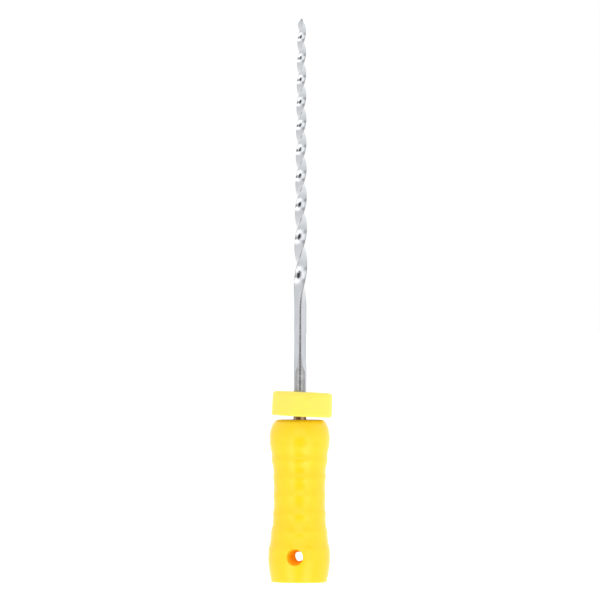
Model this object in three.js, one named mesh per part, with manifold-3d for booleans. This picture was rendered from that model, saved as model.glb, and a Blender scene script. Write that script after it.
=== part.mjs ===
import * as THREE from 'three';
import { mergeVertices } from 'three/addons/utils/BufferGeometryUtils.js';
import Module from 'manifold-3d';

// A hand endodontic file in three pieces: a twisted steel wire, the plastic handle moulded
// round its tang, and a silicone depth stop that slides on the wire. Millimetres.
// The origin is the centre of the handle's flat end, +Z runs to the cutting tip and -Y is the front.

// Wire: one length of steel, from the tang inside the handle to the tip
const wireDiameter = 0.82;
const workingLength = 25;          // handle's top face to the tip
const tipDiameter = 0.5;           // nominal size of the file, across the cutting edges' circle
const taperPerMm = 0.02;
const tipLength = 0.33;            // pyramid that closes the tip
const tipBluntDiameter = 0.04;
const twistedLength = 16.5;        // fully twisted part, measured from the tip
const twistFadeLength = 1.7;       // the twist dies away over this length behind it
const twistRateAtTip = 93.6;       // degrees per millimetre
const twistRateAtShank = 43;
const twistFallPower = 1.5;        // how late the rate falls from the first value to the second
const frontEdgeAngle = -90;        // direction of one edge where the wire is ground but not twisted
const shankLength = 2.95;          // round wire between the handle and the last trace of the flats
const flatRunOutLength = 1.2;
const tangAboveHole = 1.2;         // plastic between the cross hole and the end of the tang
const tangFlatThickness = 0.56;    // two pressed flats key the tang against turning
const tangFlatLength = 2.4;
const tangFlatRamp = 0.25;
const tangEndLength = 0.6;         // round end left below the pressed flats
const tangClearance = 0.02;

// Handle: outlines are [height, diameter], before the grip's rings are added
const handleLength = 10.13;
const baseFaceDiameter = 3.34;
const baseEdgeRounding = 0.08;
const lowerOutline = [[0.75, 3.73], [1.55, 3.86], [2.65, 3.58], [3.83, 3.28]];   // above the base
const waistDiameter = 3.17;
const upperOutline = [[3.3, 3.24], [2.68, 3.39], [2.2, 3.46], [1.65, 3.68], [1.17, 3.75]];   // below the top
const topFaceDiameter = 2.68;

// Grip: soft rings round the waist
const ringPitch = 1.11;
const ringHeight = 0.035;
const lowestRingHeight = 2.05;     // the highest one is at least highestRingDrop below the top face
const highestRingDrop = 2.3;

// Cross hole for a safety thread, narrowest in the middle
const holeHeight = 1.6;
const holeTurn = 8.5;              // degrees about Z, away from the front
const holeThroatDiameter = 0.56;
const holeMouthWidth = 1.03;
const holeMouthHeight = 1.23;

// Depth stop: a soft disc that sits a little askew on the wire
const stopDiameter = 3.77;
const stopThickness = 1.52;
const stopRounding = 0.14;
const stopBoreClearance = 0.02;
const stopGap = 0.2;               // above the handle's top face
const stopTilt = 2.4;              // degrees, right side lower
const stopOffset = 0.14;           // disc's centre to the right of the wire

// Mesh fineness
const sectorAngles = [0, 5, 20, 40, 60, 80, 100, 115];   // of each 120 degree sector of the wire
const twistStep = 15;              // degrees between the wire's rings
const twistFadeRings = 4;
const runOutRings = 8;
const outlineStep = 0.14;          // millimetres of height between the handle's points
const shoulderSteps = 6;
const roundingSteps = 3;
const handleSides = 48;
const holeSides = 24;
const stopSides = 40;
const mergeDistance = 1e-6;
const cutterOvershoot = 1;         // how far a cutter runs past the face that it opens

const edgeCount = 3;
const sector = 360 / edgeCount;
const wireRadius = wireDiameter / 2;
const tipHeight = handleLength + workingLength;
const groundLength = workingLength - shankLength;
const tangBottom = holeHeight + holeMouthHeight / 2 + tangAboveHole;
const bulgeHeight = handleLength - upperOutline.at(-1)[0];
const ringRoom = handleLength - highestRingDrop - lowestRingHeight;
const ringCount = 1 + Math.floor(ringRoom / ringPitch);

const radians = THREE.MathUtils.degToRad;
const wasm = await Module();
wasm.setup();

function toManifold(geometry) {
  const positions = geometry.clone();
  positions.deleteAttribute('normal');
  positions.deleteAttribute('uv');
  const merged = mergeVertices(positions, mergeDistance);
  return new wasm.Manifold(new wasm.Mesh({
    numProp: 3,
    vertProperties: new Float32Array(merged.attributes.position.array),
    triVerts: new Uint32Array(merged.index.array),
  }));
}

function toGeometry(solid) {
  const { vertProperties, triVerts, numProp } = solid.getMesh();
  const positions = [];
  for (let i = 0; i < vertProperties.length; i += numProp) {
    positions.push(vertProperties[i], vertProperties[i + 1], vertProperties[i + 2]);
  }
  const geometry = new THREE.BufferGeometry();
  geometry.setAttribute('position', new THREE.Float32BufferAttribute(positions, 3));
  geometry.setIndex(Array.from(triVerts));
  geometry.computeVertexNormals();
  return geometry;
}

// Skins rings of points that climb in +Z, counter-clockwise seen from above, and caps both ends.
function loft(rings) {
  const sides = rings[0].length;
  const points = rings.flat();
  const faces = [];
  for (let ring = 0; ring < rings.length - 1; ring += 1) {
    for (let side = 0; side < sides; side += 1) {
      const a = ring * sides + side;
      const b = ring * sides + (side + 1) % sides;
      faces.push(a, b, b + sides, a, b + sides, a + sides);
    }
  }
  const bottomCentre = points.length;
  const topCentre = bottomCentre + 1;
  const topRing = (rings.length - 1) * sides;
  points.push(new THREE.Vector3(0, 0, rings[0][0].z));
  points.push(new THREE.Vector3(0, 0, rings.at(-1)[0].z));
  for (let side = 0; side < sides; side += 1) {
    const next = (side + 1) % sides;
    faces.push(bottomCentre, next, side);
    faces.push(topCentre, topRing + side, topRing + next);
  }
  const geometry = new THREE.BufferGeometry().setFromPoints(points);
  geometry.setIndex(faces);
  geometry.computeVertexNormals();
  return geometry;
}

function ringOf(height, angles, radiusAt) {
  return angles.map((angle) => {
    const radius = radiusAt(angle);
    return new THREE.Vector3(
      radius * Math.cos(radians(angle)),
      radius * Math.sin(radians(angle)),
      height,
    );
  });
}

// ---- Wire ----

function twistRate(fromTip) {
  return THREE.MathUtils.lerp(twistRateAtTip, twistRateAtShank, (fromTip / twistedLength) ** twistFallPower);
}

// Degrees that the section has turned, counted from the straight part.
function twistAt(fromTip) {
  const fadeEnd = twistedLength + twistFadeLength;
  const faded = THREE.MathUtils.clamp(fadeEnd - fromTip, 0, twistFadeLength) / twistFadeLength;
  const inFade = twistRateAtShank * twistFadeLength * faded ** 2 / 2;
  const start = Math.min(fromTip, twistedLength);
  const fallen = (twistedLength - start * (start / twistedLength) ** twistFallPower) / (twistFallPower + 1);
  const turned = twistRateAtTip * (twistedLength - start) - (twistRateAtTip - twistRateAtShank) * fallen;
  return inFade + turned;
}

// Distance from the axis to each of the three ground flats.
function flatDistance(fromTip) {
  const tapered = (tipDiameter + taperPerMm * fromTip) / 2 * Math.cos(radians(sector / 2));
  const runOut = Math.max(fromTip - (groundLength - flatRunOutLength), 0) / flatRunOutLength;
  return THREE.MathUtils.lerp(tapered, wireRadius, Math.min(runOut, 1) ** 2);
}

function tipScale(fromTip) {
  return THREE.MathUtils.lerp(tipBluntDiameter / tipDiameter, 1, Math.min(fromTip / tipLength, 1));
}

function groundRadius(fromTip, angleFromEdge) {
  const fromFlat = (angleFromEdge % sector) - sector / 2;
  const radius = Math.min(flatDistance(fromTip) / Math.cos(radians(fromFlat)), wireRadius);
  return radius * tipScale(fromTip);
}

// How far the tang's two flats are pressed in, from 0 (round) to 1.
function tangPress(height) {
  const flatBottom = tangBottom + tangEndLength;
  const fromBottom = (height - (flatBottom - tangFlatRamp)) / tangFlatRamp;
  const fromTop = (flatBottom + tangFlatLength + tangFlatRamp - height) / tangFlatRamp;
  return THREE.MathUtils.clamp(Math.min(fromBottom, fromTop), 0, 1);
}

function tangRadius(height, angle, clearance) {
  const halfThickness = THREE.MathUtils.lerp(wireRadius, tangFlatThickness / 2, tangPress(height));
  const toFlat = halfThickness / Math.max(Math.abs(Math.sin(radians(angle))), Number.EPSILON);
  return Math.min(wireRadius, toFlat) + clearance;
}

const wireAngles = [];
for (let edge = 0; edge < edgeCount; edge += 1) {
  wireAngles.push(...sectorAngles.map((angle) => edge * sector + angle));
}

function groundRing(fromTip) {
  const turn = frontEdgeAngle + twistAt(fromTip);
  const turned = wireAngles.map((angle) => angle + turn);
  const height = tipHeight - fromTip;
  return ringOf(height, turned, (angle) => groundRadius(fromTip, angle - turn));
}

function tangRings(clearance) {
  const flatBottom = tangBottom + tangEndLength;
  const flatTop = flatBottom + tangFlatLength;
  const heights = [
    tangBottom - clearance, flatBottom - tangFlatRamp, flatBottom,
    flatTop, flatTop + tangFlatRamp, handleLength,
  ];
  const angles = wireAngles.map((angle) => angle + frontEdgeAngle);
  return heights.map((height) => ringOf(height, angles, (a) => tangRadius(height, a, clearance)));
}

// Distances from the tip at which the ground wire's section is drawn, furthest first.
function groundStations() {
  const stations = [0];
  let fromTip = tipLength;
  while (fromTip < twistedLength) {
    stations.push(fromTip);
    fromTip += twistStep / twistRate(fromTip);
  }
  for (let ring = 0; ring <= twistFadeRings; ring += 1) {
    stations.push(twistedLength + twistFadeLength * ring / twistFadeRings);
  }
  for (let ring = 0; ring <= runOutRings; ring += 1) {
    stations.push(groundLength - flatRunOutLength * (1 - ring / runOutRings));
  }
  return stations.sort((a, b) => b - a);
}

function wireGeometry() {
  return loft([...tangRings(0), ...groundStations().map(groundRing)]);
}

function tangCavity() {
  const rings = tangRings(tangClearance);
  const lift = new THREE.Vector3(0, 0, cutterOvershoot);
  const aboveHandle = rings.at(-1).map((point) => point.clone().add(lift));
  return loft([...rings, aboveHandle]);
}

// ---- Handle ----

function bodyOutline() {
  const fromTop = upperOutline.map(([drop, diameter]) => [handleLength - drop, diameter]);
  const waistHeight = (lowerOutline.at(-1)[0] + fromTop[0][0]) / 2;
  const foot = [baseEdgeRounding, baseFaceDiameter + 2 * baseEdgeRounding];
  const knots = [foot, ...lowerOutline, [waistHeight, waistDiameter], ...fromTop];
  return new THREE.SplineCurve(knots.map(([height, diameter]) => (
    new THREE.Vector2(diameter / 2, height)
  )));
}

function ringRise(height) {
  const row = (height - lowestRingHeight) / ringPitch;
  const inGrip = row > -0.5 && row < ringCount - 0.5;
  return inGrip ? ringHeight * (1 + Math.cos(2 * Math.PI * row)) / 2 : 0;
}

// Closed outline of the handle, from the middle of its base to the middle of its top face.
function handleOutline() {
  const outline = [new THREE.Vector2(0, 0)];
  for (let step = 0; step < roundingSteps; step += 1) {
    const turn = step / roundingSteps * Math.PI / 2;
    outline.push(new THREE.Vector2(
      baseFaceDiameter / 2 + baseEdgeRounding * Math.sin(turn),
      baseEdgeRounding * (1 - Math.cos(turn)),
    ));
  }
  const steps = Math.round(bulgeHeight / outlineStep);
  for (const point of bodyOutline().getSpacedPoints(steps)) {
    outline.push(new THREE.Vector2(point.x + ringRise(point.y), point.y));
  }
  const bulgeRadius = outline.at(-1).x;
  for (let step = 1; step <= shoulderSteps; step += 1) {
    const turn = step / shoulderSteps * Math.PI / 2;
    outline.push(new THREE.Vector2(
      THREE.MathUtils.lerp(topFaceDiameter / 2, bulgeRadius, Math.cos(turn)),
      THREE.MathUtils.lerp(bulgeHeight, handleLength, Math.sin(turn)),
    ));
  }
  outline.push(new THREE.Vector2(0, handleLength));
  return outline;
}

function handleBody() {
  return new THREE.LatheGeometry(handleOutline(), handleSides).rotateX(Math.PI / 2);
}

function radiusAtHeight(height) {
  const points = handleOutline();
  const above = points.findIndex((point) => point.y >= height && point.x > 0);
  return points[above].x;
}

// Two funnels that meet in the middle, wide enough at the handle's skin for the named mouth.
function crossHole() {
  const skin = radiusAtHeight(holeHeight);
  const throat = holeThroatDiameter / 2;
  const reach = skin + cutterOvershoot;
  const end = throat + (holeMouthWidth / 2 - throat) * reach / skin;
  const profile = [
    new THREE.Vector2(0, -reach),
    new THREE.Vector2(end, -reach),
    new THREE.Vector2(throat, 0),
    new THREE.Vector2(end, reach),
    new THREE.Vector2(0, reach),
  ];
  const hole = new THREE.LatheGeometry(profile, holeSides);
  hole.scale(1, 1, holeMouthHeight / holeMouthWidth);
  hole.rotateZ(radians(-holeTurn));
  hole.translate(0, 0, holeHeight);
  return hole;
}

function handleGeometry() {
  const body = toManifold(handleBody());
  return toGeometry(body.subtract(toManifold(tangCavity())).subtract(toManifold(crossHole())));
}

// ---- Depth stop ----

function discOutline() {
  const outline = [new THREE.Vector2(0, -stopThickness / 2)];
  for (const side of [-1, 1]) {
    for (let ring = 0; ring <= roundingSteps; ring += 1) {
      const fromFace = side < 0 ? ring : roundingSteps - ring;
      const turn = fromFace / roundingSteps * Math.PI / 2;
      outline.push(new THREE.Vector2(
        stopDiameter / 2 - stopRounding * (1 - Math.sin(turn)),
        side * (stopThickness / 2 - stopRounding * (1 - Math.cos(turn))),
      ));
    }
  }
  outline.push(new THREE.Vector2(0, stopThickness / 2));
  return outline;
}

// The disc is askew, but its bore follows the wire, because the silicone stretches round it.
function stopGeometry() {
  const disc = new THREE.LatheGeometry(discOutline(), stopSides);
  disc.rotateX(Math.PI / 2);
  disc.rotateY(radians(stopTilt));
  disc.translate(stopOffset, 0, 0);
  const boreRadius = wireRadius + stopBoreClearance;
  const boreLength = stopThickness + 2 * cutterOvershoot;
  const bore = new THREE.CylinderGeometry(boreRadius, boreRadius, boreLength, stopSides);
  bore.rotateX(Math.PI / 2);
  return toGeometry(toManifold(disc).subtract(toManifold(bore)));
}

// ---- Assembly ----

function piece(name, geometry, color, roughness, metalness) {
  const mesh = new THREE.Mesh(geometry, new THREE.MeshStandardMaterial({ color, roughness, metalness }));
  mesh.name = name;
  return mesh;
}

const endodonticFile = new THREE.Group();
endodonticFile.name = 'endodontic_file';
endodonticFile.add(piece('file_blade', wireGeometry(), '#c9ccd1', 0.25, 1));
endodonticFile.add(piece('handle', handleGeometry(), '#fddf35', 0.35, 0));

const stop = piece('silicone_stop', stopGeometry(), '#fdf277', 0.55, 0);
stop.position.z = handleLength + stopGap + stopThickness / 2;
endodonticFile.add(stop);

export default endodonticFile;
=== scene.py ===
from math import cos, pi, radians, sin

import bmesh
import bpy
from mathutils import Matrix, Vector


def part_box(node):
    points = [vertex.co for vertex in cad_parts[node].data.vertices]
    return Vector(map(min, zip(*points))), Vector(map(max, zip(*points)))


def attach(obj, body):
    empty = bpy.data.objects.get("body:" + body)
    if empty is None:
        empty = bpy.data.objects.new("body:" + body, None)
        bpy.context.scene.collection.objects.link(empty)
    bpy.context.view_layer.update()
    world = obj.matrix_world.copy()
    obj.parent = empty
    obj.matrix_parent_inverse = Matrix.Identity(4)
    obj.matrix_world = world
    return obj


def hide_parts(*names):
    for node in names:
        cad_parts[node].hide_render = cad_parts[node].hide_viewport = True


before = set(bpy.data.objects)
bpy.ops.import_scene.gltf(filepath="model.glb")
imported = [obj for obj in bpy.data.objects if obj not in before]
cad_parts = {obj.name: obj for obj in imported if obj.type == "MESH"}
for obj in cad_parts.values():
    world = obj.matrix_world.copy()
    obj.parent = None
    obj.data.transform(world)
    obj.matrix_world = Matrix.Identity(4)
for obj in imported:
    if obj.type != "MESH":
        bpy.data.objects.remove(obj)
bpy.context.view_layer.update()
mm = 0.001                       # lengths below are in millimetres, angles in degrees
print("frame loaded:", sorted(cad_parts))


def cadBox(node):
    # lowest and highest corner of a CAD node, to the nearest thousandth of a millimetre
    return [[round(value / mm, 3) for value in corner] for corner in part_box(node)]


bladeLow, bladeHigh = cadBox("file_blade")
handleHigh = cadBox("handle")[1]
stopLow, stopHigh = cadBox("silicone_stop")


class Val:
    # a node output that ordinary arithmetic works on
    def __init__(self, tree, socket):
        self.tree = tree
        self.socket = socket

    def __add__(self, other):
        return calc(self.tree, "ADD", self, other)

    def __radd__(self, other):
        return calc(self.tree, "ADD", other, self)

    def __sub__(self, other):
        return calc(self.tree, "SUBTRACT", self, other)

    def __rsub__(self, other):
        return calc(self.tree, "SUBTRACT", other, self)

    def __mul__(self, other):
        return calc(self.tree, "MULTIPLY", self, other)

    def __rmul__(self, other):
        return calc(self.tree, "MULTIPLY", other, self)

    def __truediv__(self, other):
        return calc(self.tree, "DIVIDE", self, other)

    def __pow__(self, other):
        return calc(self.tree, "POWER", self, other)


def feed(tree, socket, item):
    if isinstance(item, Val):
        tree.links.new(item.socket, socket)
    else:
        socket.default_value = item


def calc(tree, operation, *items):
    node = tree.nodes.new("ShaderNodeMath")
    node.operation = operation
    for socket, item in zip(node.inputs, items):
        feed(tree, socket, item)
    return Val(tree, node.outputs[0])


def absolute(value):
    return calc(value.tree, "ABSOLUTE", value)


def smaller(value, other):
    return calc(value.tree, "MINIMUM", value, other)


def larger(value, other):
    return calc(value.tree, "MAXIMUM", value, other)


def clamp01(value):
    return smaller(larger(value, 0.0), 1.0)


def blendTo(start, end, share):
    return start + (end - start) * share


def ramp(value, low, high, start=0.0, end=1.0):
    # smooth step from start at low to end at high
    node = value.tree.nodes.new("ShaderNodeMapRange")
    node.interpolation_type = "SMOOTHSTEP"
    items = {"Value": value, "From Min": low, "From Max": high, "To Min": start, "To Max": end}
    for name, item in items.items():
        feed(value.tree, node.inputs[name], item)
    return Val(value.tree, node.outputs["Result"])


def xyz(tree, vectorSocket):
    node = tree.nodes.new("ShaderNodeSeparateXYZ")
    tree.links.new(vectorSocket, node.inputs[0])
    return [Val(tree, node.outputs[axis]) for axis in range(3)]


def vectorOf(tree, x, y, z):
    node = tree.nodes.new("ShaderNodeCombineXYZ")
    for socket, item in zip(node.inputs, (x, y, z)):
        feed(tree, socket, item)
    return Val(tree, node.outputs[0])


def meshObject(name, mesh):
    piece = bpy.data.objects.new(name, mesh)
    bpy.context.scene.collection.objects.link(piece)
    return piece


def quarterTurn(steps):
    # angles from 0 to 90 degrees, both ends counted
    return [radians(90 * step / steps) for step in range(steps + 1)]


def latheObject(name, outline, sides):
    # outline is [(radius, height)] in millimetres, both ends on the axis, going up the outside
    build = bmesh.new()
    turns = [2 * pi * side / sides for side in range(sides)]
    rings = []
    for radius, height in outline[1:-1]:
        points = [(radius * mm * cos(turn), radius * mm * sin(turn), height * mm) for turn in turns]
        rings.append([build.verts.new(point) for point in points])
    foot = build.verts.new((0, 0, outline[0][1] * mm))
    head = build.verts.new((0, 0, outline[-1][1] * mm))
    for side in range(sides):
        after = (side + 1) % sides
        build.faces.new((foot, rings[0][after], rings[0][side]))
        build.faces.new((head, rings[-1][side], rings[-1][after]))
        for lower, upper in zip(rings, rings[1:]):
            build.faces.new((lower[side], lower[after], upper[after], upper[side]))
    mesh = bpy.data.meshes.new(name)
    build.to_mesh(mesh)
    build.free()
    return meshObject(name, mesh)


def cut(piece, cutter):
    modifier = piece.modifiers.new("cut", "BOOLEAN")
    modifier.operation = "DIFFERENCE"
    modifier.solver = "MANIFOLD"
    modifier.object = cutter
    bakeModifiers(piece)
    bpy.data.objects.remove(cutter)


def bakeModifiers(piece):
    # swaps the mesh for its evaluated result and drops the modifiers
    evaluated = piece.evaluated_get(bpy.context.evaluated_depsgraph_get())
    mesh = bpy.data.meshes.new_from_object(evaluated)
    piece.modifiers.clear()
    piece.data = mesh
    mesh.name = piece.name


def onlyMaterial(piece, material):
    piece.data.materials.clear()
    piece.data.materials.append(material)


def smoothShade(piece, sharpAngle):
    piece.data.shade_smooth()
    piece.data.set_sharp_from_angle(angle=radians(sharpAngle))


def nodeTree(name, sizes):
    # empty geometry tree with one named input for each size
    tree = bpy.data.node_groups.new(name, "GeometryNodeTree")
    tree.interface.new_socket("Geometry", in_out="INPUT", socket_type="NodeSocketGeometry")
    for label in sizes:
        tree.interface.new_socket(label, in_out="INPUT", socket_type="NodeSocketFloat")
    tree.interface.new_socket("Material", in_out="INPUT", socket_type="NodeSocketMaterial")
    tree.interface.new_socket("Geometry", in_out="OUTPUT", socket_type="NodeSocketGeometry")
    tree.nodes.new("NodeGroupInput")
    tree.nodes.new("NodeGroupOutput")
    return tree


def treeInputs(tree):
    source = tree.nodes["Group Input"]
    return {socket.name: Val(tree, socket) for socket in source.outputs if socket.name}


def endTree(tree, geometry, material):
    # Realize Instances, then Set Material, then out
    realize = tree.nodes.new("GeometryNodeRealizeInstances")
    paint = tree.nodes.new("GeometryNodeSetMaterial")
    tree.links.new(geometry, realize.inputs[0])
    tree.links.new(realize.outputs[0], paint.inputs["Geometry"])
    tree.links.new(material.socket, paint.inputs["Material"])
    tree.links.new(paint.outputs[0], tree.nodes["Group Output"].inputs[0])


def storeOn(tree, geometry, name, kind, value):
    store = tree.nodes.new("GeometryNodeStoreNamedAttribute")
    store.data_type = kind
    store.domain = "POINT"
    store.inputs["Name"].default_value = name
    tree.links.new(geometry, store.inputs["Geometry"])
    feed(tree, store.inputs["Value"], value)
    return store


def applyTree(piece, tree, sizes, material):
    modifier = piece.modifiers.new(tree.name, "NODES")
    modifier.node_group = tree
    values = {**sizes, "Material": material}
    for item in tree.interface.items_tree:
        if item.in_out == "INPUT" and item.name in values:
            modifier[item.identifier] = values[item.name]
    bakeModifiers(piece)


def newGroup(name, inputs, outputs):
    group = bpy.data.node_groups.new(name, "ShaderNodeTree")
    for label, kind, value in inputs:
        socket = group.interface.new_socket(label, in_out="INPUT", socket_type=kind)
        socket.default_value = value
    for label, kind in outputs:
        group.interface.new_socket(label, in_out="OUTPUT", socket_type=kind)
    group.nodes.new("NodeGroupInput")
    group.nodes.new("NodeGroupOutput")
    return group


def noise(tree, vector, scale, detail=2.0, roughness=0.5):
    node = tree.nodes.new("ShaderNodeTexNoise")
    feed(tree, node.inputs["Vector"], vector)
    feed(tree, node.inputs["Scale"], scale)
    node.inputs["Detail"].default_value = detail
    node.inputs["Roughness"].default_value = roughness
    return Val(tree, node.outputs["Fac"])


def mixColor(tree, share, first, second):
    node = tree.nodes.new("ShaderNodeMix")
    node.data_type = "RGBA"
    feed(tree, node.inputs[0], share)
    feed(tree, node.inputs[6], first)
    feed(tree, node.inputs[7], second)
    return Val(tree, node.outputs[2])


surfaceLook = {
    "cloudEdge": (0.35, 0.65),
    "patchScale": 0.23,          # of the grain's
    "markScale": 0.17,
    "markSlant": 0.35,
    "markEdge": (0.6, 0.66),
    "markDullness": 0.15,
}


def makeSurfaceGroup():
    # cloudy colour, patchy gloss, a fine grain and sparse rubbed marks
    # Stretch above 1 draws the grain out along Z
    group = newGroup("surfaceGrain", [
        ("Vector", "NodeSocketVector", (0, 0, 0)),
        ("Color", "NodeSocketColor", (0.5, 0.5, 0.5, 1)),
        ("Cloud Color", "NodeSocketColor", (0.4, 0.4, 0.4, 1)),
        ("Cloud Scale", "NodeSocketFloat", 1.0),
        ("Grain Scale", "NodeSocketFloat", 20.0),
        ("Stretch", "NodeSocketFloat", 1.0),
        ("Wear", "NodeSocketFloat", 0.0),
        ("Roughness Low", "NodeSocketFloat", 0.3),
        ("Roughness High", "NodeSocketFloat", 0.5),
    ], [("Color", "NodeSocketColor"), ("Roughness", "NodeSocketFloat"), ("Height", "NodeSocketFloat")])
    given = treeInputs(group)
    x, y, z = xyz(group, given["Vector"].socket)
    drawn = vectorOf(group, x, y, z / given["Stretch"])
    clouds = ramp(noise(group, given["Vector"], given["Cloud Scale"], 3.0), *surfaceLook["cloudEdge"])
    grain = noise(group, drawn, given["Grain Scale"], 4.0, 0.6)
    patches = noise(group, drawn, given["Grain Scale"] * surfaceLook["patchScale"])
    slant = surfaceLook["markSlant"]
    slanted = vectorOf(group, x + z * slant, y * 3.0, (z - x * slant) * 4.0)
    scratches = noise(group, slanted, given["Grain Scale"] * surfaceLook["markScale"], 2.0, 0.4)
    marks = ramp(scratches, *surfaceLook["markEdge"]) * given["Wear"]
    out = group.nodes["Group Output"].inputs
    feed(group, out["Color"], mixColor(group, clouds, given["Color"], given["Cloud Color"]))
    gloss = blendTo(given["Roughness Low"], given["Roughness High"], patches)
    feed(group, out["Roughness"], gloss + marks * surfaceLook["markDullness"])
    feed(group, out["Height"], grain - marks)
    return group


surfaceGroup = makeSurfaceGroup()


def newMaterial(name):
    material = bpy.data.materials.new(name)
    material.use_nodes = True
    return material, material.node_tree, material.node_tree.nodes["Principled BSDF"]


def placeSurface(tree, vector, values):
    node = tree.nodes.new("ShaderNodeGroup")
    node.node_tree = surfaceGroup
    feed(tree, node.inputs["Vector"], vector)
    for label, value in values.items():
        feed(tree, node.inputs[label], value)
    return {socket.name: Val(tree, socket) for socket in node.outputs}


def objectPosition(tree):
    # Object coordinates in millimetres
    coordinates = tree.nodes.new("ShaderNodeTexCoord")
    x, y, z = xyz(tree, coordinates.outputs["Object"])
    return x / mm, y / mm, z / mm


def softLight(shader, finish):
    # light that soaks in under the surface
    shader.inputs["Subsurface Weight"].default_value = finish["softness"]
    shader.inputs["Subsurface Radius"].default_value = finish["softShares"]
    shader.inputs["Subsurface Scale"].default_value = finish["softReach"] * mm


def addBump(tree, shader, height, distance):
    bump = tree.nodes.new("ShaderNodeBump")
    bump.inputs["Distance"].default_value = distance * mm
    feed(tree, bump.inputs["Height"], height)
    tree.links.new(bump.outputs["Normal"], shader.inputs["Normal"])


# one wire, from the tang to the cutting tip
blade = {
    "Tip Height": bladeHigh[2],
    "Tang Height": bladeLow[2],  # lower end, inside the handle
    "Wire Diameter": 0.82,
    "Tip Diameter": 0.5,
    "Taper": 0.02,
    "Tip Length": 0.33,
    "Blunt Share": 0.08,         # of the tip's diameter, left at the very end
    "Twisted Length": 16.5,
    "Fade Length": 1.7,
    "Tip Rate": 93.6,            # degrees per millimetre
    "Shank Rate": 43.0,
    "Fall Power": 1.5,           # how late the rate falls from the first value to the second
    "Front Angle": -90.0,        # one edge of the straight part faces the front
    "Ground Length": 22.05,
    "Run Out": 1.2,
    "Edge Angle": 3.4,           # half width of the land along each cutting edge, in degrees
    "Flat Bottom": 4.015,
    "Flat Top": 6.415,
    "Flat Ramp": 0.25,
    "Flat Thickness": 0.56,
}
bladeMesh = {
    "sectors": 3,
    "landSteps": 12,
    "flatSteps": 14,
    "rings": 900,
    "widestLand": 50.0,          # degrees, half width
    "sharpAngle": 25.0,
}
bladeFinish = {
    "ground": {
        "Color": (0.555, 0.575, 0.605, 1),
        "Cloud Color": (0.51, 0.53, 0.555, 1),
        "Cloud Scale": 0.9,
        "Grain Scale": 22.0,
        "Stretch": 14.0,
        "Wear": 0.3,
        "Roughness Low": 0.1,
        "Roughness High": 0.2,
    },
    "drawn": {
        "Color": (0.42, 0.42, 0.425, 1),
        "Cloud Color": (0.34, 0.34, 0.345, 1),
        "Cloud Scale": 1.7,
        "Grain Scale": 30.0,
        "Stretch": 9.0,
        "Wear": 0.5,
        "Roughness Low": 0.16,
        "Roughness High": 0.28,
    },
    "skinFades": (17.5, 24.0),   # heights, the drawn skin on the lands is rubbed off between them
    "skinLeft": 0.35,
    "polishStarts": (17.0, 18.5),
    "polish": 0.2,
    "polishColor": (0.85, 0.86, 0.88, 1),
    # painted shade and painted reflection in the gap under the stop, with some stain
    "stainAndShadeFades": (0.12, 0.34),  # above the handle
    "stainAndShadeDark": (0.22, 0.12, 0.05, 1),
    "stainAndShadePale": (0.72, 0.56, 0.44, 1),
    "stainAndShadeRoughness": 0.3,
    "blotchScale": 2.6,
    "blotchEdge": (0.44, 0.56),
    "bump": 0.004,
}


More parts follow.
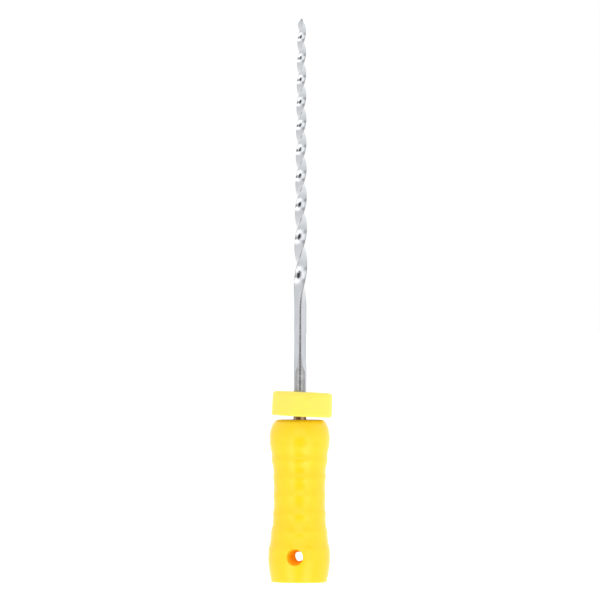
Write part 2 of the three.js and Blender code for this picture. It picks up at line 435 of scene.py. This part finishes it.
def bladeTree():
    tree = nodeTree("twistedWire", blade)
    size = treeInputs(tree)
    perSector = bladeMesh["landSteps"] + bladeMesh["flatSteps"]
    sides = perSector * bladeMesh["sectors"]
    sector = 360 / bladeMesh["sectors"]

    tube = tree.nodes.new("GeometryNodeMeshCylinder")
    tube.fill_type = "TRIANGLE_FAN"
    tube.inputs["Vertices"].default_value = sides
    tube.inputs["Side Segments"].default_value = bladeMesh["rings"]
    tube.inputs["Radius"].default_value = 1.0
    tube.inputs["Depth"].default_value = 1.0
    x, y, z = xyz(tree, tree.nodes.new("GeometryNodeInputPosition").outputs[0])

    height = blendTo(size["Tang Height"], size["Tip Height"], z + 0.5)
    fromTip = size["Tip Height"] - height

    # twist, counted from the straight part
    fadeEnd = size["Twisted Length"] + size["Fade Length"]
    faded = clamp01((fadeEnd - fromTip) / size["Fade Length"])
    inFade = size["Shank Rate"] * size["Fade Length"] * faded * faded / 2
    start = smaller(fromTip, size["Twisted Length"])
    unfallen = start * (start / size["Twisted Length"]) ** size["Fall Power"]
    fallen = (size["Twisted Length"] - unfallen) / (size["Fall Power"] + 1)
    turned = size["Tip Rate"] * (size["Twisted Length"] - start)
    turned = turned - (size["Tip Rate"] - size["Shank Rate"]) * fallen
    twist = inFade + turned

    # how far the flats are ground in, and how wide a land they leave
    wire = size["Wire Diameter"] / 2
    tapered = (size["Tip Diameter"] + size["Taper"] * fromTip) / 2
    halfSector = radians(sector / 2)
    pointed = tapered * calc(tree, "COSINE", halfSector - size["Edge Angle"] * (pi / 180))
    runOut = clamp01((fromTip - size["Ground Length"] + size["Run Out"]) / size["Run Out"])
    flat = blendTo(pointed, wire, runOut * runOut)
    edge = smaller(tapered, wire)
    land = sector / 2 - calc(tree, "ARCCOSINE", smaller(flat / wire, 1.0)) * (180 / pi)
    land = smaller(larger(land, size["Edge Angle"]), bladeMesh["widestLand"])

    # each sector's points: a few across the land, the rest across the flat
    around = calc(tree, "ROUND", calc(tree, "ARCTAN2", y, x) * (sides / (2 * pi)) + sides)
    around = calc(tree, "MODULO", around, sides)
    sectorNumber = calc(tree, "FLOOR", around / perSector)
    inSector = around - sectorNumber * perSector
    acrossLand = smaller(inSector, bladeMesh["landSteps"]) / bladeMesh["landSteps"]
    acrossFlat = larger(inSector - bladeMesh["landSteps"], 0.0) / bladeMesh["flatSteps"]
    local = (2 * acrossLand - 1) * land + (sector - 2 * land) * acrossFlat
    offFlat = absolute(local) - sector / 2
    radius = smaller(flat / calc(tree, "COSINE", offFlat * (pi / 180)), edge)
    radius = radius * blendTo(size["Blunt Share"], 1.0, clamp01(fromTip / size["Tip Length"]))

    angle = (size["Front Angle"] + twist + sectorNumber * sector + local) * (pi / 180)
    pressed = smaller(height - size["Flat Bottom"], size["Flat Top"] - height) / size["Flat Ramp"] + 1
    halfFlat = blendTo(wire, size["Flat Thickness"] / 2, clamp01(pressed))
    radius = smaller(radius, halfFlat / larger(absolute(calc(tree, "SINE", angle)), 0.01))
    radius = radius * calc(tree, "SQRT", x * x + y * y)

    place = tree.nodes.new("GeometryNodeSetPosition")
    spot = vectorOf(
        tree,
        radius * calc(tree, "COSINE", angle) * mm,
        radius * calc(tree, "SINE", angle) * mm,
        height * mm,
    )
    feed(tree, place.inputs["Position"], spot)

    # stored on the tube before its points move: where each point lay before the wire was
    # twisted, for grain that follows the flutes, and what kept the drawn wire's skin
    before = (sectorNumber * sector + local) * (pi / 180)
    beforeX, beforeY = radius * calc(tree, "COSINE", before), radius * calc(tree, "SINE", before)
    straight = vectorOf(tree, beforeX, beforeY, height)
    skin = calc(tree, "LESS_THAN", absolute(local), land + 0.01)
    tube = storeOn(tree, tube.outputs["Mesh"], "untwisted", "FLOAT_VECTOR", straight)
    tube = storeOn(tree, tube.outputs[0], "drawnSkin", "FLOAT", skin)
    tree.links.new(tube.outputs[0], place.inputs["Geometry"])
    endTree(tree, place.outputs[0], size["Material"])
    return tree


def attributeOf(tree, name, output):
    node = tree.nodes.new("ShaderNodeAttribute")
    node.attribute_name = name
    return Val(tree, node.outputs[output])


def steelMaterial():
    material, tree, shader = newMaterial("groundSteel")
    vector = attributeOf(tree, "untwisted", "Vector")
    ground = placeSurface(tree, vector, bladeFinish["ground"])
    drawn = placeSurface(tree, vector, bladeFinish["drawn"])
    height = xyz(tree, vector.socket)[2]
    skinShare = ramp(height, *bladeFinish["skinFades"], 1.0, bladeFinish["skinLeft"])
    skin = attributeOf(tree, "drawnSkin", "Fac") * skinShare
    polish = ramp(height, *bladeFinish["polishStarts"], 0.0, bladeFinish["polish"])
    polished = mixColor(tree, polish, ground["Color"], bladeFinish["polishColor"])
    color = mixColor(tree, skin, polished, drawn["Color"])

    # blotchy brown where the wire leaves the handle: partly stain, partly painted shade and painted
    # reflection of the yellow parts in the gap under the stop
    stainAndShadeTop, stainAndShadeEnd = (handle["length"] + above for above in bladeFinish["stainAndShadeFades"])
    stainAndShade = ramp(height, stainAndShadeTop, stainAndShadeEnd, 1.0, 0.0)
    blotches = ramp(noise(tree, vector, bladeFinish["blotchScale"]), *bladeFinish["blotchEdge"])
    brown = mixColor(tree, blotches, bladeFinish["stainAndShadeDark"], bladeFinish["stainAndShadePale"])
    roughness = blendTo(ground["Roughness"], drawn["Roughness"], skin)
    # painted shade: the wire turns brown and darker in the gap above the handle
    feed(tree, shader.inputs["Base Color"], mixColor(tree, stainAndShade, color, brown))
    feed(tree, shader.inputs["Roughness"], blendTo(roughness, bladeFinish["stainAndShadeRoughness"], stainAndShade))
    shader.inputs["Metallic"].default_value = 1.0
    addBump(tree, shader, blendTo(ground["Height"], drawn["Height"], skin), bladeFinish["bump"])
    return material


def makeBlade():
    piece = meshObject("steelBlade", bpy.data.meshes.new("steelBlade"))
    applyTree(piece, bladeTree(), blade, steelMaterial())
    smoothShade(piece, bladeMesh["sharpAngle"])
    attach(piece, "file_body")
    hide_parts("file_blade")


# one moulding, waisted, with soft rings and a funnelled cross hole
handle = {
    "length": handleHigh[2],
    "baseFace": 3.34,
    "baseRounding": 0.08,
    "lower": [(0.75, 3.73), (1.55, 3.86), (2.65, 3.58), (3.83, 3.28)],               # above the base
    "waist": 3.17,
    "upper": [(3.3, 3.24), (2.68, 3.39), (2.2, 3.46), (1.65, 3.68), (1.17, 3.75)],   # below the top
    "topFace": 2.68,
    "sides": 256,
    "footSteps": 6,
    "spanSteps": 24,             # between two of the widths
    "topSteps": 24,
    "boreClearance": 0.012,
    "boreBottom": 3.395,
    "boreFlare": 0.05,
    "boreSides": 96,
    "sharpAngle": 40.0,
}
gripRings = {
    "Pitch": 1.11,
    "Ring Height": 0.037,
    "Sharpness": 1.9,
    "Lowest": 2.05,
    "Count": 6.0,
    "Seam Height": 0.008,        # the line where the two halves of the mould meet
    "Seam Width": 0.06,
    "Seam Bottom": 0.1,
    "Seam Top": 9.9,
}
crossHole = {
    "height": 1.6,
    "turn": 8.5,                 # degrees, the front mouth to the left
    "throat": 0.56,
    "mouth": 1.0,
    "mouthRounding": 0.12,
    "skin": 1.93,                # handle's radius at the hole
    "funnelSteps": 12,
    "roundingSteps": 9,
    "sides": 96,
}
handleFinish = {
    "plastic": {
        "Color": (0.99, 0.68, 0.015, 1),
        "Cloud Color": (0.99, 0.655, 0.011, 1),
        "Cloud Scale": 0.5,
        "Grain Scale": 9.0,
        "Wear": 0.15,
        "Roughness Low": 0.17,
        "Roughness High": 0.23,
    },
    "specular": 0.4,
    "softness": 0.15,                # share of the light that soaks in
    "softReach": 0.6,
    "softShares": (1.0, 0.5, 0.06),  # of that reach, for red, green and blue
    "holeWall": (0.5, 0.57),         # distances from the hole's axis, full tint and none
    # painted light: the orange tint and the glow inside the hole
    "paintedHoleTint": (1.0, 0.56, 0.004, 1),
    "paintedHoleGlow": (0.1, 0.046, 0.0, 1),
    "holeDullness": 0.6,
    # the top face's brown is partly grime, partly painted shade under the stop
    "grimeAndShadeStarts": (0.22, 0.04),     # below the top face
    "grimeAndShade": 0.4,
    "grimeAndShadeColor": (0.45, 0.3, 0.02, 1),
    "bump": 0.004,
}


def splinePoints(knots, perSpan):
    # Catmull-Rom through the knots, ends doubled
    padded = [knots[0], *knots, knots[-1]]
    points = []
    for index in range(len(knots) - 1):
        p0, p1, p2, p3 = (Vector(knot) for knot in padded[index:index + 4])
        for part in range(perSpan):
            t = part / perSpan
            v0, v1 = (p2 - p0) / 2, (p3 - p1) / 2
            cubic = 2 * p1 - 2 * p2 + v0 + v1
            square = -3 * p1 + 3 * p2 - 2 * v0 - v1
            points.append(cubic * t ** 3 + square * t ** 2 + v0 * t + p1)
    points.append(Vector(knots[-1]))
    return [tuple(point) for point in points]


def handleOutline():
    length = handle["length"]
    fromTop = [(length - drop, width) for drop, width in handle["upper"]]
    middle = ((handle["lower"][-1][0] + fromTop[0][0]) / 2, handle["waist"])
    foot = (handle["baseRounding"], handle["baseFace"] + 2 * handle["baseRounding"])
    knots = [(width / 2, height) for height, width in (foot, *handle["lower"], middle, *fromTop)]
    face, rounding = handle["baseFace"] / 2, handle["baseRounding"]
    outline = [(0, 0)]
    outline += [(face * share, 0) for share in (0.2, 0.4, 0.6, 0.8)]
    for turn in quarterTurn(handle["footSteps"])[:-1]:
        outline.append((face + rounding * sin(turn), rounding * (1 - cos(turn))))
    outline += splinePoints(knots, handle["spanSteps"])
    bulge, bulgeHeight = outline[-1]
    topFace = handle["topFace"] / 2
    for turn in quarterTurn(handle["topSteps"])[1:]:
        radius = topFace + (bulge - topFace) * cos(turn)
        outline.append((radius, bulgeHeight + (length - bulgeHeight) * sin(turn)))
    outline += [(topFace * share, length) for share in (0.8, 0.6, 0.45)]
    outline.append((0, length))
    return outline


def gripTree():
    # raises the rings, and the fine line where the two halves of the mould meet
    tree = nodeTree("gripRings", gripRings)
    size = treeInputs(tree)
    x, y, z = xyz(tree, tree.nodes.new("GeometryNodeInputPosition").outputs[0])
    row = (z / mm - size["Lowest"]) / size["Pitch"]
    inGrip = calc(tree, "COMPARE", row, (size["Count"] - 1) / 2, size["Count"] / 2)
    wave = (calc(tree, "COSINE", row * (2 * pi)) + 1) / 2
    ring = inGrip * wave ** size["Sharpness"] * size["Ring Height"]
    seam = clamp01(1 - absolute(y / mm) / size["Seam Width"]) * size["Seam Height"]
    onSide = ramp(z / mm, size["Seam Bottom"], size["Seam Bottom"] + 0.3)
    onSide = onSide * ramp(z / mm, size["Seam Top"], size["Seam Top"] - 0.5)
    out = calc(tree, "SQRT", x * x + y * y)
    share = (ring + seam * onSide) * mm / larger(out, 0.0001)
    place = tree.nodes.new("GeometryNodeSetPosition")
    tree.links.new(tree.nodes["Group Input"].outputs["Geometry"], place.inputs["Geometry"])
    feed(tree, place.inputs["Offset"], vectorOf(tree, x * share, y * share, 0.0))
    endTree(tree, place.outputs[0], size["Material"])
    return tree


def holeCutter():
    # two trumpets, mouth to mouth through the throat, lying along Y
    skin, rounding = crossHole["skin"], crossHole["mouthRounding"]
    mouth, throat = crossHole["mouth"] / 2, crossHole["throat"] / 2
    steps = crossHole["funnelSteps"]
    half = [(throat, 0.0)]
    for step in range(1, steps):
        half.append((throat + (mouth - throat) * step / steps, (skin - rounding) * step / steps))
    for turn in quarterTurn(crossHole["roundingSteps"]):
        half.append((mouth + rounding * (1 - cos(turn)), skin - rounding + rounding * sin(turn)))
    half.append((mouth + rounding, skin + 0.3))     # clear of the surface
    outline = [(0, -half[-1][1])] + [(radius, -height) for radius, height in reversed(half[1:])]
    outline += half + [(0, half[-1][1])]
    cutter = latheObject("holeCutter", outline, crossHole["sides"])
    turned = Matrix.Rotation(radians(-crossHole["turn"]), 4, "Z") @ Matrix.Rotation(radians(90), 4, "X")
    cutter.data.transform(Matrix.Translation((0, 0, crossHole["height"] * mm)) @ turned)
    return cutter


def boreCutter():
    radius = blade["Wire Diameter"] / 2 + handle["boreClearance"]
    top, flare = handle["length"], handle["boreFlare"]
    outline = [(0, handle["boreBottom"]), (radius, handle["boreBottom"]), (radius, top - flare)]
    outline += [(radius + flare, top), (radius + flare, top + 1), (0, top + 1)]
    return latheObject("boreCutter", outline, handle["boreSides"])


def plasticMaterial():
    material, tree, shader = newMaterial("handlePlastic")
    x, y, z = objectPosition(tree)
    surface = placeSurface(tree, vectorOf(tree, x, y, z), handleFinish["plastic"])
    # the cross hole's wall is duller, and a painted orange tint with a painted glow stands in for light that
    # soaks through the plastic
    turn = radians(crossHole["turn"])
    side, up = x * cos(turn) - y * sin(turn), z - crossHole["height"]
    fromAxis = calc(tree, "SQRT", side * side + up * up)
    wall = ramp(fromAxis, *handleFinish["holeWall"], 1.0, 0.0)
    color = mixColor(tree, wall, surface["Color"], handleFinish["paintedHoleTint"])
    paintedGlow = mixColor(tree, wall, (0, 0, 0, 1), handleFinish["paintedHoleGlow"])
    # a trace of grime and painted shade on the top face, darker towards the top, under the stop
    grimeAndShadeBottom, grimeAndShadeTop = (handle["length"] - below for below in handleFinish["grimeAndShadeStarts"])
    # painted shade: the colour darkens towards the top face, under the stop
    grimeAndShade = ramp(z, grimeAndShadeBottom, grimeAndShadeTop, 0.0, handleFinish["grimeAndShade"])
    feed(tree, shader.inputs["Base Color"], mixColor(tree, grimeAndShade, color, handleFinish["grimeAndShadeColor"]))
    feed(tree, shader.inputs["Roughness"], surface["Roughness"] + wall * handleFinish["holeDullness"])
    # painted glow: the hole's wall gives off a little orange light
    feed(tree, shader.inputs["Emission Color"], paintedGlow)
    shader.inputs["Emission Strength"].default_value = 1.0
    shader.inputs["Specular IOR Level"].default_value = handleFinish["specular"]
    softLight(shader, handleFinish)
    addBump(tree, shader, surface["Height"], handleFinish["bump"])
    return material


def makeHandle():
    piece = latheObject("mouldedHandle", handleOutline(), handle["sides"])
    plastic = plasticMaterial()
    applyTree(piece, gripTree(), gripRings, plastic)
    cut(piece, holeCutter())
    cut(piece, boreCutter())
    onlyMaterial(piece, plastic)
    smoothShade(piece, handle["sharpAngle"])
    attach(piece, "file_body")
    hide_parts("handle")


# a soft disc, a little askew on the wire
stop = {
    "diameter": 3.77,
    "thickness": 1.52,
    "topDiameter": 3.71,
    "lowerRounding": 0.12,
    "upperRounding": 0.22,
    "side": (stopLow[0] + stopHigh[0]) / 2,
    "middle": (stopLow[2] + stopHigh[2]) / 2,
    "tilt": 2.4,
    "boreClearance": 0.02,
    "boreSides": 96,
    "sides": 180,
    "faceSteps": 20,
    "wallSteps": 16,
    "roundingSteps": 9,
    "innerRing": 0.5,            # radius, clear of the bore
    "sharpAngle": 40.0,
}
stopFinish = {
    "silicone": {
        "Color": (0.94, 0.8, 0.095, 1),
        "Cloud Color": (0.93, 0.775, 0.115, 1),
        "Cloud Scale": 0.8,
        "Grain Scale": 14.0,
        "Wear": 0.6,
        "Roughness Low": 0.4,
        "Roughness High": 0.55,
    },
    "softness": 0.3,
    "softReach": 0.3,
    "softShares": (1.0, 0.8, 0.2),
    "nickSide": 0.55,
    "nickHeight": 11.5,
    "nickSlope": 22.0,
    "nickWidth": 0.045,
    "nickEnds": (0.15, 0.27),
    "nickDepth": 5.0,            # times the grain
    "bump": 0.006,
}


def stopOutline():
    low, high = stop["diameter"] / 2, stop["topDiameter"] / 2
    half, lowRound, highRound = stop["thickness"] / 2, stop["lowerRounding"], stop["upperRounding"]
    inner, faceSteps, wallSteps = stop["innerRing"], stop["faceSteps"], stop["wallSteps"]
    lowFace, highFace = low - lowRound, high - highRound
    wall = 2 * half - lowRound - highRound
    outline = [(0, -half)]
    outline += [(inner + (lowFace - inner) * step / faceSteps, -half) for step in range(faceSteps)]
    for turn in quarterTurn(stop["roundingSteps"]):
        outline.append((low - lowRound * (1 - sin(turn)), -half + lowRound * (1 - cos(turn))))
    for step in range(1, wallSteps):
        outline.append((low + (high - low) * step / wallSteps, -half + lowRound + wall * step / wallSteps))
    for turn in quarterTurn(stop["roundingSteps"]):
        outline.append((high - highRound * (1 - cos(turn)), half - highRound * (1 - sin(turn))))
    for step in range(1, faceSteps + 1):
        outline.append((highFace - (highFace - inner) * step / faceSteps, half))
    outline.append((0, half))
    return outline


def siliconeMaterial():
    material, tree, shader = newMaterial("lemonSilicone")
    x, y, z = objectPosition(tree)
    surface = placeSurface(tree, vectorOf(tree, x, y, z), stopFinish["silicone"])
    feed(tree, shader.inputs["Base Color"], surface["Color"])
    feed(tree, shader.inputs["Roughness"], surface["Roughness"])
    softLight(shader, stopFinish)

    # a short nick across the front, just under the upper rim
    side, up = x - stopFinish["nickSide"], z - stopFinish["nickHeight"]
    slope = radians(stopFinish["nickSlope"])
    along = side * cos(slope) + up * sin(slope)
    across = up * cos(slope) - side * sin(slope)
    nick = ramp(absolute(across), 0.0, stopFinish["nickWidth"], 1.0, 0.0)
    nick = nick * ramp(absolute(along), *stopFinish["nickEnds"], 1.0, 0.0)
    nick = nick * calc(tree, "LESS_THAN", y, 0.0)
    addBump(tree, shader, surface["Height"] - nick * stopFinish["nickDepth"], stopFinish["bump"])
    return material


def makeStop():
    piece = latheObject("stopDisc", stopOutline(), stop["sides"])
    middle = stop["middle"]
    tilted = Matrix.Rotation(radians(stop["tilt"]), 4, "Y")
    piece.data.transform(Matrix.Translation((stop["side"] * mm, 0, middle * mm)) @ tilted)
    radius = blade["Wire Diameter"] / 2 + stop["boreClearance"]
    bore = [(0, middle - 2), (radius, middle - 2), (radius, middle + 2), (0, middle + 2)]
    cut(piece, latheObject("stopBore", bore, stop["boreSides"]))
    onlyMaterial(piece, siliconeMaterial())
    smoothShade(piece, stop["sharpAngle"])
    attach(piece, "stop")
    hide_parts("silicone_stop")


makeBlade()
print("blade made")
makeHandle()
print("handle made")
makeStop()
print("stop made")


studio = {
    "cameraDistance": 400.0,
    "frameHeight": 37.406,       # height that the view covers at the object
    "cameraHeight": 17.58,
    "cameraSide": -0.028,
    "roll": 0.28,                # degrees, top of the object to the right
    "floorSize": 6000.0,
    "floorColor": (0.9, 0.9, 0.9, 1),
    "floorGlow": 0.5,
    "panelSize": 0.5,            # metres, and so is its height
    "panelEnergy": 0.6,
    # light from each part of the room, 1 for plain white
    "sides": 0.98,
    "back": 1.08,
    "rightExtra": 0.08,
    "frontLow": 2.7,
    "frontHigh": 0.4,
    "frontSpan": (-32.0, 28.0),  # elevations of those two
    "frontEdge": (36.0, 58.0),   # azimuths where the front panels end
    "aboveLens": 1.45,
    "frontCeiling": 0.6,
    "ceiling": 0.98,
    "under": 1.5,
    # degrees between which one part passes into the next
    "sideToBack": (60.0, 120.0),
    "rightSide": (50.0, 110.0),
    "aboveLensEdge": (16.0, 30.0),
    "aboveLensRise": (0.0, 12.0),
    "frontCeilingEdge": (50.0, 80.0),
    "ceilingRise": (22.0, 46.0),
    "underFall": (-40.0, -65.0),
    "patchEdge": (0.7, 1.3),     # share of a patch's half sizes, squared
    # dark patches: azimuth, elevation and half sizes in degrees, share of the light left
    "lens": (0.0, -9.0, 23.5, 11.5, 0.03),
    "lensHood": (-3.0, -18.0, 19.0, 24.0, 0.5),
    "tableEdge": (-13.0, -35.0, 15.0, 10.0, 0.03),
}


def makeCamera():
    data = bpy.data.cameras.new("camera")
    data.sensor_width = 36
    data.lens = data.sensor_width * studio["cameraDistance"] / studio["frameHeight"]
    data.clip_start = 0.05
    data.clip_end = 20
    camera = bpy.data.objects.new("camera", data)
    bpy.context.scene.collection.objects.link(camera)
    camera.location = (studio["cameraSide"] * mm, -studio["cameraDistance"] * mm, studio["cameraHeight"] * mm)
    camera.rotation_euler = (radians(90), radians(-studio["roll"]), 0)
    bpy.context.scene.camera = camera


def makeFloor():
    half = studio["floorSize"] * mm / 2
    mesh = bpy.data.meshes.new("floor")
    corners = [(-half, -half, 0), (half, -half, 0), (half, half, 0), (-half, half, 0)]
    mesh.from_pydata(corners, [], [(0, 1, 2, 3)])
    floor = meshObject("floor", mesh)
    material, tree, shader = newMaterial("paleFloor")
    shader.inputs["Base Color"].default_value = studio["floorColor"]
    shader.inputs["Roughness"].default_value = 0.9
    shader.inputs["Emission Color"].default_value = (1, 1, 1, 1)
    shader.inputs["Emission Strength"].default_value = studio["floorGlow"]
    # the studio lights the object from below too, so only the camera sees the floor
    path = tree.nodes.new("ShaderNodeLightPath")
    clear = tree.nodes.new("ShaderNodeBsdfTransparent")
    choice = tree.nodes.new("ShaderNodeMixShader")
    tree.links.new(path.outputs["Is Camera Ray"], choice.inputs[0])
    tree.links.new(clear.outputs[0], choice.inputs[1])
    tree.links.new(shader.outputs[0], choice.inputs[2])
    tree.links.new(choice.outputs[0], tree.nodes["Material Output"].inputs["Surface"])
    mesh.materials.append(material)


def makeWorld():
    # white to the camera; round the object, a soft room with a dark gap in front between two bright panels
    world = bpy.data.worlds.new("studio")
    world.use_nodes = True
    bpy.context.scene.world = world
    tree = world.node_tree
    coordinates = tree.nodes.new("ShaderNodeTexCoord")
    x, y, z = xyz(tree, coordinates.outputs["Generated"])
    azimuth = calc(tree, "ARCTAN2", x, 0 - y) * (180 / pi)      # 0 towards the front, + to the right
    elevation = calc(tree, "ARCSINE", z) * (180 / pi)
    off = absolute(azimuth)
    sides = ramp(off, *studio["sideToBack"], studio["sides"], studio["back"])
    sides = sides + ramp(azimuth, *studio["rightSide"], 0.0, studio["rightExtra"])
    low, high = studio["frontSpan"]
    front = blendTo(studio["frontLow"], studio["frontHigh"], clamp01((elevation - low) / (high - low)))
    aboveLens = ramp(off, *studio["aboveLensEdge"], 1.0, 0.0) * ramp(elevation, *studio["aboveLensRise"])
    front = blendTo(front, studio["aboveLens"], aboveLens)
    level = blendTo(sides, front, ramp(off, *studio["frontEdge"], 1.0, 0.0))
    ceiling = ramp(off, *studio["frontCeilingEdge"], studio["frontCeiling"], studio["ceiling"])
    level = blendTo(level, ceiling, ramp(elevation, *studio["ceilingRise"]))
    level = blendTo(level, studio["under"], ramp(elevation, *studio["underFall"]))
    for name in ("lens", "lensHood", "tableEdge"):
        side, up, halfWidth, halfHeight, left = studio[name]
        across, along = (azimuth - side) / halfWidth, (elevation - up) / halfHeight
        level = level * ramp(across * across + along * along, *studio["patchEdge"], left, 1.0)
    path = tree.nodes.new("ShaderNodeLightPath")
    seen = Val(tree, path.outputs["Is Camera Ray"])
    background = tree.nodes["Background"]
    feed(tree, background.inputs["Strength"], blendTo(level, 1.0, seen))
    background.inputs["Color"].default_value = (1, 1, 1, 1)


def makeTopPanel():
    data = bpy.data.lights.new("topPanel", "AREA")
    data.size = studio["panelSize"]
    data.energy = studio["panelEnergy"]
    light = bpy.data.objects.new("topPanel", data)
    bpy.context.scene.collection.objects.link(light)
    light.location = (0, 0, studio["panelSize"])


makeCamera()
makeFloor()
makeWorld()
makeTopPanel()
bpy.context.scene.view_settings.view_transform = "Standard"
bpy.context.scene.view_settings.look = "None"
print("studio made")
